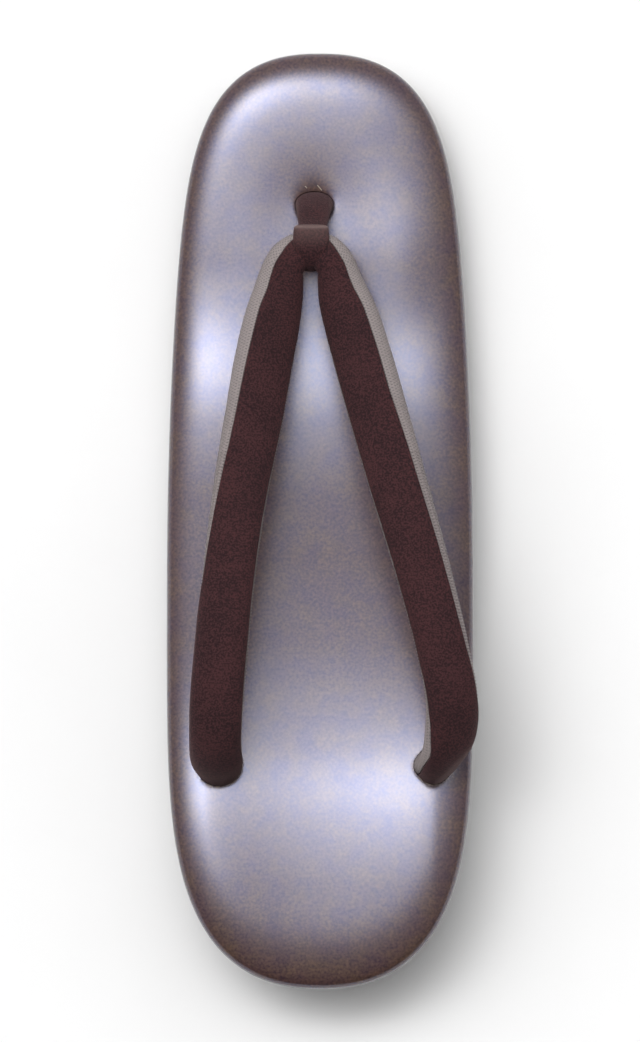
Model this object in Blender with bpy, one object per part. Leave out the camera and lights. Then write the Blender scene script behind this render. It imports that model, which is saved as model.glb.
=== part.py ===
"""Zori sandal: a covered wedge platform with a padded tread, a rubber outsole and heel lift, and a velvet
V strap held at the toe by a short thong. Metres, +Y towards the toe, +Z up, standing on Z = 0."""

import math
from collections import namedtuple

import bmesh
import bpy
import numpy as np
from mathutils import Matrix, Vector

MM = 0.001
GAP = 0.3 * MM  # clearance between pieces that touch

# Outline seen from above: two superellipse ends that meet at the widest station.
LENGTH = 245 * MM
HALF_WIDTH = 40.1 * MM
WIDEST_Y = -15 * MM
TOE_TAPER = 8 * MM  # how much the half width would lose by the tip, before the toe rounds it off
TOE_BLUNTNESS, TOE_CORNER = 9.4, 2.4
HEEL_BLUNTNESS, HEEL_CORNER = 4.7, 2.3
TIP_Y = LENGTH / 2
OUTLINE_POINTS = 80
OUTLINE_SAMPLES = 2001  # fine walk along one side, from which the even points are read
SPINE_TOE_Y = TIP_Y - 33 * MM  # the crowns close on a straight spine between these two stations
SPINE_HEEL_Y = -TIP_Y + 36 * MM

# Side view: the tread is level at the forefoot, climbs in a wedge, and is level again at the heel.
FOREFOOT_HEIGHT = 24 * MM
Slope = namedtuple("Slope", "from_toe degrees")
TREAD_SLOPES = (
    Slope(0 * MM, 0),
    Slope(55 * MM, 0),
    Slope(66 * MM, 2),
    Slope(83 * MM, 6.7),
    Slope(97 * MM, 10.6),
    Slope(117 * MM, 13.8),
    Slope(130 * MM, 14.3),
    Slope(144 * MM, 14.9),
    Slope(154 * MM, 14.8),
    Slope(165 * MM, 13.3),
    Slope(175 * MM, 11.5),
    Slope(182 * MM, 9.8),
    Slope(200 * MM, 4.5),
    Slope(218 * MM, 0.9),
    Slope(245 * MM, -2),
)
TREAD_SAMPLES = 491  # steps of half a millimetre
HEEL_DISH = 1.0 * MM  # hollow of the heel seat
DISH_START_Y, DISH_FULL_Y = -10 * MM, -60 * MM
DISH_HALF_WIDTH = 30 * MM

# Padded tread: a cushion, nearly flat in the middle, whose edge rolls down to a crease above the side wall.
PAD_THICKNESS = 9 * MM
ROLL_POWER = 4.3
ROLL_DEPTH = 7.2 * MM
ROLL_REACH, TOE_ROLL_REACH, HEEL_ROLL_REACH = 28 * MM, 34 * MM, 26 * MM  # how far in from the edge it ends
TOE_ROLL_START_Y, TOE_ROLL_FULL_Y = 70 * MM, 112 * MM
HEEL_ROLL_START_Y, HEEL_ROLL_FULL_Y = -70 * MM, -112 * MM
ROLL_INSETS = (0, 0.25 * MM, 0.9 * MM, 2.1 * MM, 4 * MM, 6.8 * MM, 10.8 * MM, 16 * MM)
RIM_TUCK = 0.9 * MM  # how far the pad's lower rim turns in at the crease
UNDERSIDE_SHARES = (1, 0.6, 0.2)  # rings between the spine and the rim, as shares of the way inwards
CROWN_SHARES = (0.25, 0.5, 0.75, 1)
LEVEL_SHARES = (0.5, 1)  # the same for the level faces of the platform and the outsole

# Platform wall: it stands just inside the pad's edge and draws in under the toe and the heel.
WALL_INSET = 0.5 * MM
UNDERCUT = 3 * MM
UNDERCUT_START_Y = 80 * MM
WALL_EDGE = 0.7 * MM  # rounding at the wall's upper and lower edges
WALL_SHARES = (0.35, 0.7)  # rings of the wall between its foot and its head

# Outsole and heel lift.
OUTSOLE_THICKNESS = 4 * MM
OUTSOLE_INSET = 1.2 * MM
OUTSOLE_EDGE = 0.8 * MM
TOE_SPRING = 6.5 * MM
TOE_SPRING_START_Y = 72 * MM
ARCH_START_Y = 18 * MM
LIFT_FRONT_Y = -62 * MM
LIFT_THICKNESS = 6 * MM
LIFT_TAPER = 1.2 * MM

SHARP_ANGLE = math.radians(35)  # edges that turn more than this stay crisp
MERGE = 0.01 * MM

# Strap holes: each is an upright oval well through the pad into the platform. swing turns its long axis
# about the vertical, positive with the outer end towards the toe; power is that of its superellipse.
WELL_DEPTH = 17 * MM
SECTION_POWER = 2.5
END_POWER = 2.1
Well = namedtuple("Well", "name x y half_width half_length swing power")
TOE_WELL = Well("toe_well", -1.5 * MM, 82.8 * MM, 5.1 * MM, 4.2 * MM, 0, END_POWER)
LEFT_WELL = Well("left_well", -26.4 * MM, -63.5 * MM, 6.1 * MM, 5.1 * MM, -6, END_POWER)
RIGHT_WELL = Well("right_well", 29.3 * MM, -63.2 * MM, 5.1 * MM, 4.9 * MM, 43, SECTION_POWER)

# Straps: each row is one section, in millimetres and degrees. x, y and z are the middle of the section,
# roll is the turn of its face about the strap's length, positive with the outer edge up, and swing is as
# for a well.
SECTION_POINTS = 20
POWER_FROM_Y, POWER_TO_Y = -46 * MM, -62 * MM  # where a strap's section takes on the power of its well
CROWN_SHARE = 0.58  # part of a strap's thickness that lies above its seams
STRAP_SECTIONS = 44
WELL_ROW_DROPS = (-1 * MM, 5 * MM, 12 * MM)  # depths below the tread of an arm's last rows, in its well
Strap = namedtuple("Strap", "x y z width thickness roll swing")
LEFT_STRAP = (
    Strap(-3.0, 73.5, 45.2, 4.6, 5.0, 0, 0),
    Strap(-4.5, 72.3, 45.6, 6.4, 5.8, 0, 0),
    Strap(-6.0, 71.0, 46.0, 8.6, 6.4, 0, 0),
    Strap(-7.6, 69.1, 46.3, 10.2, 7.0, 2, 0),
    Strap(-9.5, 66.4, 46.4, 10.6, 7.5, 6, 0),
    Strap(-10.3, 63.3, 46.7, 11.8, 7.9, 12, 0),
    Strap(-11.2, 58.5, 47.6, 13.4, 8.1, 20, 0),
    Strap(-12.3, 53.5, 49.2, 14.9, 8.2, 24, 0),
    Strap(-14.5, 43.0, 52.8, 15.8, 8.2, 24, 0),
    Strap(-17.3, 27.0, 58.2, 15.6, 8.2, 20, 0),
    Strap(-20.6, 8.5, 64.2, 14.6, 8.2, 8, 0),
    Strap(-23.7, -14.6, 70.0, 14.0, 8.2, -6, 0),
    Strap(-25.5, -33.0, 72.6, 14.0, 8.2, -12, 0),
    Strap(-26.7, -47.5, 71.6, 14.0, 8.4, -14, 0),
    Strap(-27.1, -56.8, 67.0, 13.6, 8.6, -10, 0),
    Strap(-26.9, -62.0, 58.5, 13.4, 8.6, 0, 0),
)
RIGHT_STRAP = (
    Strap(-2.0, 73.5, 45.2, 4.6, 5.0, 0, 0),
    Strap(-0.5, 72.3, 45.6, 6.4, 5.8, 0, 0),
    Strap(1.0, 71.0, 46.0, 8.6, 6.4, 0, 0),
    Strap(2.5, 69.1, 46.3, 10.0, 7.0, 2, 0),
    Strap(4.3, 66.4, 46.4, 10.2, 7.5, 6, 0),
    Strap(5.1, 63.3, 46.7, 11.3, 7.9, 12, 0),
    Strap(6.3, 58.5, 47.6, 13.4, 8.1, 20, 0),
    Strap(7.9, 53.5, 49.2, 14.9, 8.2, 24, 0),
    Strap(11.0, 43.0, 52.8, 15.8, 8.2, 24, 0),
    Strap(15.5, 27.0, 58.2, 15.8, 8.2, 20, 0),
    Strap(20.7, 8.5, 64.2, 15.4, 8.2, 12, 0),
    Strap(27.2, -14.6, 70.0, 14.6, 8.2, -4, 0),
    Strap(31.8, -33.0, 72.6, 14.0, 8.2, -12, 0),
    Strap(34.2, -47.5, 71.6, 14.0, 8.4, -20, 4),
    Strap(33.5, -56.2, 67.2, 13.8, 8.6, -18, 14),
    Strap(31.0, -61.6, 58.5, 12.4, 8.8, -6, 34),
)

# Toe thong: a padded stem out of the toe well, and a flat loop from its top round the joint of the
# straps. These rows are in millimetres too.
Stem = namedtuple("Stem", "x y z width thickness")
THONG_STEM = (
    Stem(-1.5, 82.9, 10.0, 9.6, 6.2),
    Stem(-1.5, 82.9, 18.0, 9.8, 6.4),
    Stem(-1.5, 82.7, 24.5, 9.9, 6.4),
    Stem(-1.6, 81.4, 31.0, 9.2, 5.6),
    Stem(-1.8, 79.4, 37.0, 8.2, 4.8),
    Stem(-1.9, 77.4, 42.0, 7.6, 3.4),
    Stem(-2.1, 76.0, 46.0, 7.6, 2.2),
)
Loop = namedtuple("Loop", "x y z width")
THONG_LOOP = (
    Loop(-2.3, 75.7, 45.2, 8.9),
    Loop(-2.3, 75.8, 48.3, 9.2),
    Loop(-2.3, 73.2, 49.7, 9.4),
    Loop(-2.4, 70.0, 49.4, 8.0),
    Loop(-2.4, 67.2, 47.4, 4.6),
    Loop(-2.4, 66.3, 44.4, 3.8),
    Loop(-2.4, 68.4, 42.0, 5.0),
    Loop(-2.4, 72.4, 41.4, 7.2),
    Loop(-2.3, 75.2, 42.6, 8.4),
)
LOOP_THICKNESS = 2.6 * MM
LOOP_POWER, STEM_POWER = 3.2, 2.1
LOOP_SECTIONS = 30
STEM_SECTIONS = 12


def smoothstep(value, start, end):
    """0 at start, 1 at end, level at both."""
    share = np.clip((value - start) / (end - start), 0, 1)
    return share * share * (3 - 2 * share)


def half_width(y):
    """Half width of the outline at station y."""
    if y > WIDEST_Y:
        share = min((y - WIDEST_Y) / (TIP_Y - WIDEST_Y), 1)
        return (HALF_WIDTH - TOE_TAPER * share**2) * (1 - share**TOE_BLUNTNESS) ** (1 / TOE_CORNER)
    share = min((WIDEST_Y - y) / (WIDEST_Y + TIP_Y), 1)
    return HALF_WIDTH * (1 - share**HEEL_BLUNTNESS) ** (1 / HEEL_CORNER)


def side_samples():
    """Closely spaced points down the right side of the outline, from the toe tip to the heel."""
    return np.array([(half_width(y), y) for y in TIP_Y * np.cos(np.linspace(0, math.pi, OUTLINE_SAMPLES))])


def outline():
    """Evenly spaced points round the platform from the toe tip over the right side, and inward normals."""
    side = side_samples()
    walked = np.concatenate([[0], np.cumsum(np.linalg.norm(np.diff(side, axis=0), axis=1))])
    stops = np.linspace(0, walked[-1], OUTLINE_POINTS // 2 + 1)
    right = np.column_stack([np.interp(stops, walked, side[:, axis]) for axis in (0, 1)])
    right[0, 0] = right[-1, 0] = 0
    left = right[-2:0:-1] * (-1, 1)
    points = np.vstack([right, left])
    along = np.roll(points, -1, axis=0) - np.roll(points, 1, axis=0)
    inward = np.column_stack([along[:, 1], -along[:, 0]]) / np.linalg.norm(along, axis=1)[:, None]
    return points, inward


def tread_height(y):
    """Height of the tread's middle line: its slopes added up from the toe."""
    stations = np.linspace(0, LENGTH, TREAD_SAMPLES)
    slopes = np.interp(stations, *zip(*TREAD_SLOPES))
    rises = np.tan(np.radians(slopes)) * (stations[1] - stations[0])
    heights = FOREFOOT_HEIGHT + np.cumsum(rises)
    return np.interp(TIP_Y - y, stations, heights)


def sole_height(y):
    """Height of the outsole's underside: level at the ball, sprung at the toe, raised on the heel lift."""
    spring = TOE_SPRING * smoothstep(y, TOE_SPRING_START_Y, TIP_Y)
    arch = (LIFT_THICKNESS + GAP) * smoothstep(y, ARCH_START_Y, LIFT_FRONT_Y)
    return spring + arch


def undercut(y):
    return UNDERCUT * smoothstep(np.abs(y), UNDERCUT_START_Y, TIP_Y)


def ring(inset, height):
    """One closed ring of points. inset and height are each a number or a function of the station."""
    points, inward = outline()
    insets = inset(points[:, 1]) if callable(inset) else np.full(len(points), inset)
    flat = points + inward * insets[:, None]
    return np.column_stack([flat, height(flat[:, 1])])


def towards_spine(edge, share, height):
    """The ring moved that share of the way to the straight spine, at the height that its place gives."""
    spine_y = np.clip(edge[:, 1], SPINE_HEEL_Y, SPINE_TOE_Y)
    x = edge[:, 0] * (1 - share)
    y = edge[:, 1] * (1 - share) + spine_y * share
    return np.column_stack([x, y, height(x, y)])


def skin(rings, ends):
    """A bmesh of quads through the rings. ends is "capped", "looped" back to the first ring, or "open"."""
    data = bmesh.new()
    rows = [[data.verts.new(point) for point in points] for points in rings]
    pairs = list(zip(rows, rows[1:]))
    if ends == "looped":
        pairs.append((rows[-1], rows[0]))
    for lower, upper in pairs:
        for at, corner in enumerate(lower):
            after = (at + 1) % len(lower)
            data.faces.new((corner, lower[after], upper[after], upper[at]))
    if ends == "capped":
        data.faces.new(rows[0][::-1])
        data.faces.new(rows[-1])
    return data


def finish(name, data, material=None):
    """Turns the bmesh into a named, smooth-shaded object."""
    bmesh.ops.recalc_face_normals(data, faces=data.faces)
    mesh = bpy.data.meshes.new(name)
    data.to_mesh(mesh)
    data.free()
    mesh.shade_smooth()
    mesh.set_sharp_from_angle(angle=SHARP_ANGLE)
    if material:
        mesh.materials.append(material)
    made = bpy.data.objects.new(name, mesh)
    bpy.context.scene.collection.objects.link(made)
    return made


def closed_on_spines(rings):
    """The skin of a layer, whose first and last rings lie folded flat on the spine and merge there."""
    data = skin(rings, "open")
    bmesh.ops.remove_doubles(data, verts=data.verts, dist=MERGE)
    bmesh.ops.dissolve_degenerate(data, edges=data.edges, dist=MERGE)
    return data


def surface(material_name, colour, roughness, metallic=0.0):
    material = bpy.data.materials.new(material_name)
    material.use_nodes = True
    shader = material.node_tree.nodes["Principled BSDF"]
    shader.inputs["Base Color"].default_value = (*colour, 1)
    shader.inputs["Roughness"].default_value = roughness
    shader.inputs["Metallic"].default_value = metallic
    return material


def dish(x, y):
    """Hollow of the heel seat, deepest on the middle line."""
    depth = HEEL_DISH * smoothstep(y, DISH_START_Y, DISH_FULL_Y)
    return depth * np.clip(1 - (x / DISH_HALF_WIDTH) ** 2, 0, 1)


def edge_distance(x, y):
    """How far each place lies in from the edge of the outline."""
    samples = side_samples()
    edge = np.vstack([samples, samples * (-1, 1)])
    return np.array([np.min(np.hypot(*(edge - place).T)) for place in np.column_stack([x, y])])


def roll_drop(inset, y):
    """How far the pad's edge has rolled down, that far in from the edge."""
    reach = ROLL_REACH + (TOE_ROLL_REACH - ROLL_REACH) * smoothstep(y, TOE_ROLL_START_Y, TOE_ROLL_FULL_Y)
    reach += (HEEL_ROLL_REACH - ROLL_REACH) * smoothstep(y, HEEL_ROLL_START_Y, HEEL_ROLL_FULL_Y)
    outwards = np.clip(1 - inset / reach, 0, 1)
    return ROLL_DEPTH * (1 - (1 - outwards**ROLL_POWER) ** (1 / ROLL_POWER))


def padded_top(material):
    """The cushion: level underneath, with a tucked rim, a rolled edge and a dished crown."""

    def underside(x, y):
        return tread_height(y) - PAD_THICKNESS

    def crown(x, y):
        return tread_height(y) - dish(x, y) - roll_drop(edge_distance(x, y), y)

    rim = ring(RIM_TUCK, lambda y: tread_height(y) - PAD_THICKNESS)
    rings = [towards_spine(rim, share, underside) for share in UNDERSIDE_SHARES] + [rim]
    for inset in ROLL_INSETS:
        edge = ring(inset, tread_height)
        edge[:, 2] -= roll_drop(inset, edge[:, 1]) + dish(edge[:, 0], edge[:, 1])
        rings.append(edge)
    rings += [towards_spine(rings[-1], share, crown) for share in CROWN_SHARES]
    return finish("padded_top", closed_on_spines(rings), material)


def platform(material):
    """The core with its side wall, just inside the pad's edge and drawn in below the toe and the heel."""

    def top(x, y):
        return tread_height(y) - PAD_THICKNESS - GAP

    def bottom(x, y):
        return sole_height(y) + OUTSOLE_THICKNESS + GAP

    def edge(share, extra_inset=0, rise=0):
        """A ring of the wall, that share of the way from its foot to its head."""

        def inset(y):
            return WALL_INSET + undercut(y) * (1 - share) + extra_inset

        made = ring(inset, np.zeros_like)
        low, high = bottom(0, made[:, 1]), top(0, made[:, 1])
        made[:, 2] = low + (high - low) * share + rise
        return made

    foot, head = edge(0, WALL_EDGE), edge(1, WALL_EDGE)
    rings = [towards_spine(foot, share, bottom) for share in reversed(LEVEL_SHARES)]
    rings += [foot, edge(0, rise=WALL_EDGE)]
    rings += [edge(share) for share in WALL_SHARES]
    rings += [edge(1, rise=-WALL_EDGE), head]
    rings += [towards_spine(head, share, top) for share in LEVEL_SHARES]
    return finish("platform", closed_on_spines(rings), material)


def outsole(material):
    """The rubber sole: level at the ball, sprung at the toe, arched up to the heel lift."""

    def bottom(x, y):
        return sole_height(y)

    def top(x, y):
        return sole_height(y) + OUTSOLE_THICKNESS

    def edge(extra_inset, rise):
        made = ring(lambda y: undercut(y) + OUTSOLE_INSET + extra_inset, sole_height)
        made[:, 2] += rise
        return made

    foot, head = edge(OUTSOLE_EDGE, 0), edge(0, OUTSOLE_THICKNESS)
    rings = [towards_spine(foot, share, bottom) for share in reversed(LEVEL_SHARES)]
    rings += [foot, edge(0, OUTSOLE_EDGE), head]
    rings += [towards_spine(head, share, top) for share in LEVEL_SHARES]
    return finish("outsole", closed_on_spines(rings), material)


def heel_lift(material):
    """A D-shaped rubber block under the heel, tapered to its foot and cut square in front."""

    def edge(extra_inset, height):
        made = ring(lambda y: undercut(y) + OUTSOLE_INSET + extra_inset, np.zeros_like)
        made[:, 2] = height
        return made

    def folded(edge_ring):
        return towards_spine(edge_ring, 1, lambda x, y: edge_ring[:, 2])

    foot, head = edge(LIFT_TAPER + OUTSOLE_EDGE, 0), edge(0, LIFT_THICKNESS)
    data = closed_on_spines([folded(foot), foot, edge(LIFT_TAPER, OUTSOLE_EDGE), head, folded(head)])
    cut = bmesh.ops.bisect_plane(
        data,
        geom=data.verts[:] + data.edges[:] + data.faces[:],
        plane_co=Vector((0, LIFT_FRONT_Y, 0)),
        plane_no=Vector((0, 1, 0)),
        clear_outer=True,
    )
    rim = [item for item in cut["geom_cut"] if isinstance(item, bmesh.types.BMEdge)]
    bmesh.ops.holes_fill(data, edges=rim, sides=0)
    return finish("heel_lift", data, material)


def through(rows, count, closes=False):
    """count rows of numbers read from a smooth curve through the given rows, whose first three are a place.

    A closed curve is read at even steps, and an open one at steps that shorten towards its ends.
    """
    knots = np.array(rows, float)
    if closes:
        knots = np.vstack([knots[-2:], knots, knots[:3]])
    walked = np.concatenate([[0], np.cumsum(np.linalg.norm(np.diff(knots[:, :3], axis=0), axis=1))])
    tangents = np.gradient(knots, walked, axis=0)
    if closes:
        stops = np.linspace(walked[2], walked[-3], count, endpoint=False)
    else:
        evenly = np.linspace(0, 1, count)
        stops = walked[-1] * (evenly + (1 - np.cos(math.pi * evenly)) / 2) / 2
    at = np.clip(np.searchsorted(walked, stops, side="right") - 1, 0, len(knots) - 2)
    span = (walked[at + 1] - walked[at])[:, None]
    t = (stops - walked[at])[:, None] / span
    start = (1 + 2 * t) * (1 - t) ** 2 * knots[at] + t * (1 - t) ** 2 * span * tangents[at]
    return start + t**2 * (3 - 2 * t) * knots[at + 1] + t**2 * (t - 1) * span * tangents[at + 1]


def oval(width, thickness, power, crown_share=0.5):
    """A padded section as (across, up) pairs: a superellipse with crown_share of its thickness above."""
    angles = np.linspace(0, 2 * math.pi, SECTION_POINTS, endpoint=False)
    across = np.sign(np.cos(angles)) * np.abs(np.cos(angles)) ** (2 / power) * width / 2
    up = np.sign(np.sin(angles)) * np.abs(np.sin(angles)) ** (2 / power) * thickness
    return across, up * np.where(up > 0, crown_share, 1 - crown_share)


def arm_rings(rows, well, outward):
    """One arm of the strap, from the joint back over the foot and down into its well."""
    sections = list(rows)
    mouth = tread_height(well.y) / MM
    fit = 2 * (well.half_width - GAP) / MM, 2 * (well.half_length - GAP) / MM
    for drop in WELL_ROW_DROPS:
        sections.append(Strap(well.x / MM, well.y / MM, mouth - drop / MM, *fit, 0, well.swing))
    path = through(sections, STRAP_SECTIONS)
    centres = path[:, :3] * MM
    tangents = np.gradient(centres, axis=0)
    tangents[-1] = (0, 0, -1)
    rings = []
    for centre, along, (width, thickness, roll, swing) in zip(centres, tangents, path[:, 3:]):
        along = Vector(along).normalized()
        sideways = Vector((outward * math.cos(math.radians(swing)), math.sin(math.radians(swing)), 0))
        sideways = (sideways - along * sideways.dot(along)).normalized()
        face = sideways.cross(along) * -outward
        turn = math.radians(roll)
        wide = sideways * math.cos(turn) + face * math.sin(turn)
        crown = face * math.cos(turn) - sideways * math.sin(turn)
        power = SECTION_POWER + (well.power - SECTION_POWER) * smoothstep(centre[1], POWER_FROM_Y, POWER_TO_Y)
        across, up = oval(width * MM, thickness * MM, power, CROWN_SHARE)
        rings.append([Vector(centre) + wide * a + crown * u for a, u in zip(across, up)])
    return rings


def flat_rings(centres, directions, widths, thicknesses, power):
    """Sections whose width lies along X, square to a path in the upright plane of the thong."""
    rings = []
    for centre, along, width, thickness in zip(centres, directions, widths, thicknesses):
        outwards = Vector(along).cross(Vector((1, 0, 0))).normalized()
        across, up = oval(width, thickness, power)
        rings.append([Vector(centre) + Vector((a, 0, 0)) + outwards * u for a, u in zip(across, up)])
    return rings


def loop_rings(extra):
    """The thong's flat loop round the joint, each face moved outwards by extra."""
    path = through(THONG_LOOP, LOOP_SECTIONS, closes=True) * MM
    centres = path[:, :3]
    directions = np.roll(centres, -1, axis=0) - np.roll(centres, 1, axis=0)
    thicknesses = [LOOP_THICKNESS + 2 * extra] * LOOP_SECTIONS
    return flat_rings(centres, directions, path[:, 3] + 2 * extra, thicknesses, LOOP_POWER)


def stem_rings():
    path = through(THONG_STEM, STEM_SECTIONS) * MM
    centres = path[:, :3]
    return flat_rings(centres, np.gradient(centres, axis=0), path[:, 3], path[:, 4], STEM_POWER)


def cutter(name, data):
    made = finish(name, data)
    made.hide_render = True
    made.display_type = "WIRE"
    return made


def combine(target, tool, operation):
    """Applies one Boolean and removes its tool."""
    modifier = target.modifiers.new("combine", "BOOLEAN")
    modifier.operation = operation
    modifier.object = tool
    depsgraph = bpy.context.evaluated_depsgraph_get()
    shaped = bpy.data.meshes.new_from_object(target.evaluated_get(depsgraph))
    target.modifiers.clear()
    target.data = shaped
    bpy.data.objects.remove(tool, do_unlink=True)
    target.data.set_sharp_from_angle(angle=SHARP_ANGLE)


def strap_pair(material):
    """The V strap: two arms joined at the toe, grooved where the thong's loop lies round the joint."""
    made = finish("strap_pair", skin(arm_rings(LEFT_STRAP, LEFT_WELL, -1), "capped"), material)
    combine(made, cutter("right_arm", skin(arm_rings(RIGHT_STRAP, RIGHT_WELL, 1), "capped")), "UNION")
    combine(made, cutter("loop_groove", skin(loop_rings(GAP), "looped")), "DIFFERENCE")
    return made


def toe_thong(material):
    """The thong: its padded stem joined to the loop that holds the straps."""
    made = finish("toe_thong", skin(stem_rings(), "capped"), material)
    combine(made, cutter("loop", skin(loop_rings(0), "looped")), "UNION")
    return made


def well_cutter(well):
    """An upright plug with a strap end's section, from above the tread to the bottom of the well."""
    mouth = float(tread_height(well.y))
    across, back = oval(2 * well.half_width, 2 * well.half_length, well.power, CROWN_SHARE)
    turn = Matrix.Rotation(math.radians(well.swing) * math.copysign(1, well.x), 3, "Z")
    section = [turn @ Vector((a, -b, 0)) for a, b in zip(across, back)]
    heights = (mouth - WELL_DEPTH, mouth + PAD_THICKNESS)
    rings = [[corner + Vector((well.x, well.y, height)) for corner in section] for height in heights]
    return cutter(well.name, skin(rings, "capped"))


def main():
    for item in list(bpy.data.objects):
        bpy.data.objects.remove(item, do_unlink=True)
    pearl = surface("pearl leather", (0.30, 0.27, 0.36), 0.36, 0.35)
    wrap = surface("pearl wrap", (0.21, 0.18, 0.21), 0.4, 0.35)
    rubber = surface("dark rubber", (0.035, 0.032, 0.034), 0.75)
    velvet = surface("burgundy velvet", (0.045, 0.018, 0.021), 0.95)
    pad = padded_top(pearl)
    core = platform(wrap)
    outsole(rubber)
    heel_lift(rubber)
    strap_pair(velvet)
    toe_thong(velvet)
    for well in (TOE_WELL, LEFT_WELL, RIGHT_WELL):
        combine(pad, well_cutter(well), "DIFFERENCE")
        combine(core, well_cutter(well), "DIFFERENCE")


main()
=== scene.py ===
# %% [markdown]
# # A zori sandal, dressed around its solid model
# A zori is a flat-footed Japanese sandal: a wedge platform covered in leather, with a padded tread, and a
# V-shaped velvet strap that a short thong holds between the toes. The solid model gives every part its
# place and size. This lesson gives each part its real surface: the rolled edge of the pad, the nap of the
# velvet, the ribbed lining that shows along the strap's edges, and the rubber underneath.

import math
from collections import namedtuple

import bmesh
import bpy
import numpy as np
from mathutils import Matrix, Vector
from mathutils.kdtree import KDTree


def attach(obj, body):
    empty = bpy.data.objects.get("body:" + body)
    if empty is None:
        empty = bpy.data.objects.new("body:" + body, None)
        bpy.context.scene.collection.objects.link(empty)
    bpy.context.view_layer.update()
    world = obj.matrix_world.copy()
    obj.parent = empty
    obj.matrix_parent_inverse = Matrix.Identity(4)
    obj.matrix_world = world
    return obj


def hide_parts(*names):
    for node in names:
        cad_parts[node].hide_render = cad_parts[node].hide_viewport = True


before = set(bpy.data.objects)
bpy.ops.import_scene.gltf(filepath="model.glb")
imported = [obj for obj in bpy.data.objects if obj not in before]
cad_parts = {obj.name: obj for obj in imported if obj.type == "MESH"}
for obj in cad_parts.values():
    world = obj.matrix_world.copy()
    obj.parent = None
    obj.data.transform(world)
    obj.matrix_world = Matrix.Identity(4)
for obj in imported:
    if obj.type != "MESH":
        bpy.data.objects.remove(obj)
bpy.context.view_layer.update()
MM = 0.001


def in_mm(length):
    return round(float(length) / MM, 1)


# %% [markdown]
# ## Tools used all through the lesson
# An operator acts on whatever is selected, so each step starts with nothing selected. Most parts here are
# tubes or stacks of rings. They are modelled as one would by hand: a circle is added, its edge loop is
# extruded again and again, and after each extrusion the new corners are moved to where the part's own
# sizes say. Two vertex attributes remember each corner's turn round the ring and its row along the part,
# so that later steps and materials can find them.

# %% Selecting and editing


def pick(*pieces):
    """Object mode, with only these selected and the first of them active."""
    if bpy.context.object and bpy.context.object.mode != "OBJECT":
        bpy.ops.object.mode_set(mode="OBJECT")
    bpy.ops.object.select_all(action="DESELECT")
    for piece in pieces:
        piece.select_set(True)
    if pieces:
        bpy.context.view_layer.objects.active = pieces[0]


def edit(piece):
    pick(piece)
    bpy.ops.object.mode_set(mode="EDIT")
    bpy.ops.mesh.select_all(action="SELECT")


def leave_edit():
    bpy.ops.object.mode_set(mode="OBJECT")


def select_where(piece, kind, test):
    """Selects only the "verts", "edges" or "faces" that pass test(part, the layer of the rows)."""
    bpy.ops.mesh.select_all(action="DESELECT")
    data = bmesh.from_edit_mesh(piece.data)
    row_layer = data.verts.layers.float["row"]
    for part in getattr(data, kind):
        part.select = test(part, row_layer)
    if kind == "verts":
        data.select_flush(True)
    bmesh.update_edit_mesh(piece.data)


def name_piece(name):
    piece = bpy.context.object
    piece.name = piece.data.name = name
    return piece


pick()
print("nothing is selected:", not bpy.context.selected_objects)

# %% Extrude rings into a tube


def remember(piece, name, values, kind="FLOAT"):
    """Gives each corner of the piece a number under this name."""
    piece.data.attributes.new(name, kind, "POINT").data.foreach_set("value", values)


def place_ring(piece, ring, row):
    """Moves the selected corners onto the ring's points."""
    data = bmesh.from_edit_mesh(piece.data)
    turn, row_layer = data.verts.layers.int["turn"], data.verts.layers.float["row"]
    for corner in data.verts:
        if corner.select:
            corner.co = ring[corner[turn]]
            corner[row_layer] = row
    bmesh.update_edit_mesh(piece.data)


def loft(name, rings, caps=True, closes=False):
    """A tube through the rings, extruded from a circle, with its ends capped or joined to each other."""
    pick()
    bpy.ops.mesh.primitive_circle_add(vertices=len(rings[0]), radius=MM)
    piece = name_piece(name)
    remember(piece, "turn", range(len(rings[0])), "INT")
    remember(piece, "row", [0] * len(rings[0]))
    edit(piece)
    place_ring(piece, rings[0], 0)
    if caps:
        bpy.ops.mesh.edge_face_add()
    for row, ring in enumerate(rings[1:], 1):
        bpy.ops.mesh.extrude_region_move()
        place_ring(piece, ring, row)
    if closes:
        bpy.ops.mesh.extrude_region_move()
        place_ring(piece, rings[0], 0)
        bpy.ops.mesh.select_all(action="SELECT")
        bpy.ops.mesh.remove_doubles(threshold=0.01 * MM)
    bpy.ops.mesh.select_all(action="SELECT")
    bpy.ops.mesh.normals_make_consistent(inside=False)
    if (caps or closes) and bmesh.from_edit_mesh(piece.data).calc_volume(signed=True) < 0:
        bpy.ops.mesh.flip_normals()
    leave_edit()
    return piece


# %% Read and move a piece's corners


def numbers_of(data, name, each=1):
    numbers = np.empty(len(data) * each, np.float32)
    data.foreach_get(name, numbers)
    return numbers.astype(float)


def points_of(piece):
    return numbers_of(piece.data.vertices, "co", 3).reshape(-1, 3)


def rows_of(piece):
    return numbers_of(piece.data.attributes["row"].data, "value")


def set_points(piece, places):
    piece.data.vertices.foreach_set("co", np.asarray(places, np.float32).ravel())
    piece.data.update()


def combine(piece, tool, operation="DIFFERENCE"):
    """Applies one Boolean to the piece and deletes its tool."""
    pick(piece)
    modifier = piece.modifiers.new(operation.lower(), "BOOLEAN")
    modifier.operation = operation
    modifier.object = tool
    bpy.ops.object.modifier_apply(modifier=modifier.name)
    bpy.data.objects.remove(tool, do_unlink=True)


def smoothstep(value, start, end):
    """0 at start, 1 at end, level at both."""
    share = np.clip((value - start) / (end - start), 0, 1)
    return share * share * (3 - 2 * share)


print("a smooth step, a quarter of the way:", round(float(smoothstep(0.25, 0, 1)), 3))

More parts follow.
